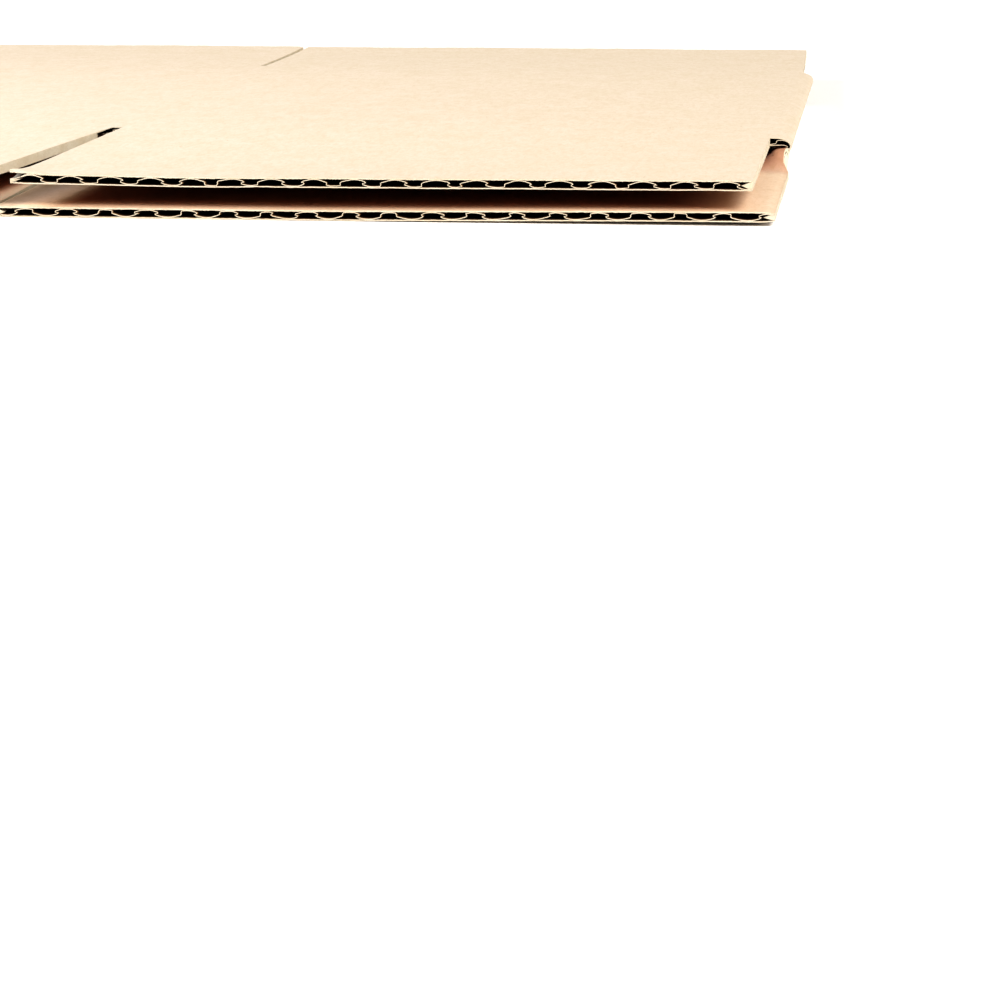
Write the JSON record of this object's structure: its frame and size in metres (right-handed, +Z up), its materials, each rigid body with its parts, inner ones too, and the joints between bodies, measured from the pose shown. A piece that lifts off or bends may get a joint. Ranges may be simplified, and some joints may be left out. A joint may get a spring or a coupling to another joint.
{
  "type": "flattened corrugated cardboard box",
  "caption": "Slotted corrugated carton folded flat: two board layers joined by side folds and a glued tab, slotted flaps, fluted edges.",
  "frame": {"origin": "middle of the underside of the flattened box, on the surface that it lies on", "axes": "+Z up through the two layers, +Y along the flutes from the front flaps to the back flaps, +X across the side panels to the right fold"},
  "size_m": [0.312, 0.314, 0.0086],
  "materials": {
    "kraft_board": "matt kraft linerboard"
  },
  "bodies": {
    "root": {"flattened_box": "kraft_board"}
  },
  "joints": []
}
